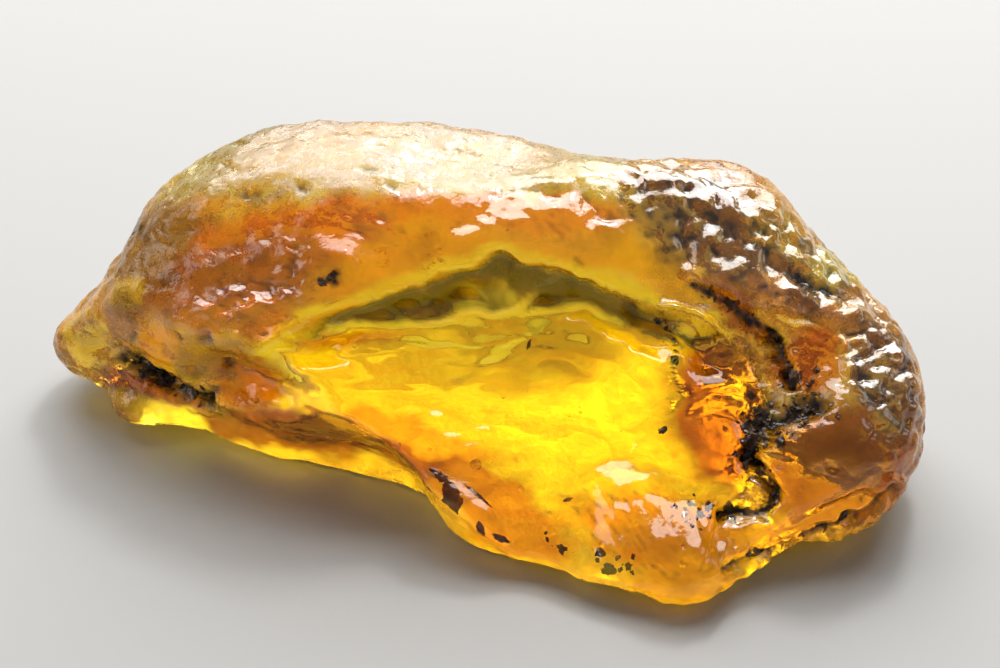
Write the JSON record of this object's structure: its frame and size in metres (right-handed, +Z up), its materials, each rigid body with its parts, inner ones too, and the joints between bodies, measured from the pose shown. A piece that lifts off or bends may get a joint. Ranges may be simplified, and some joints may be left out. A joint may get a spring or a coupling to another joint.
{
  "type": "raw amber piece",
  "caption": "Rough lump of natural amber: clear golden shell-shaped break in front, weathered brown crust round it, worn flat underneath to rest on a table.",
  "frame": {"origin": "under the middle of the lump's box, on the surface it rests on", "axes": "+X along the longest side, the great clear break faces -Y, +Z up from the flat underside"},
  "size_m": [0.05, 0.0278, 0.0161],
  "materials": {
    "amber": "gloss"
  },
  "bodies": {
    "root": {"amber_piece": "amber"}
  },
  "joints": []
}
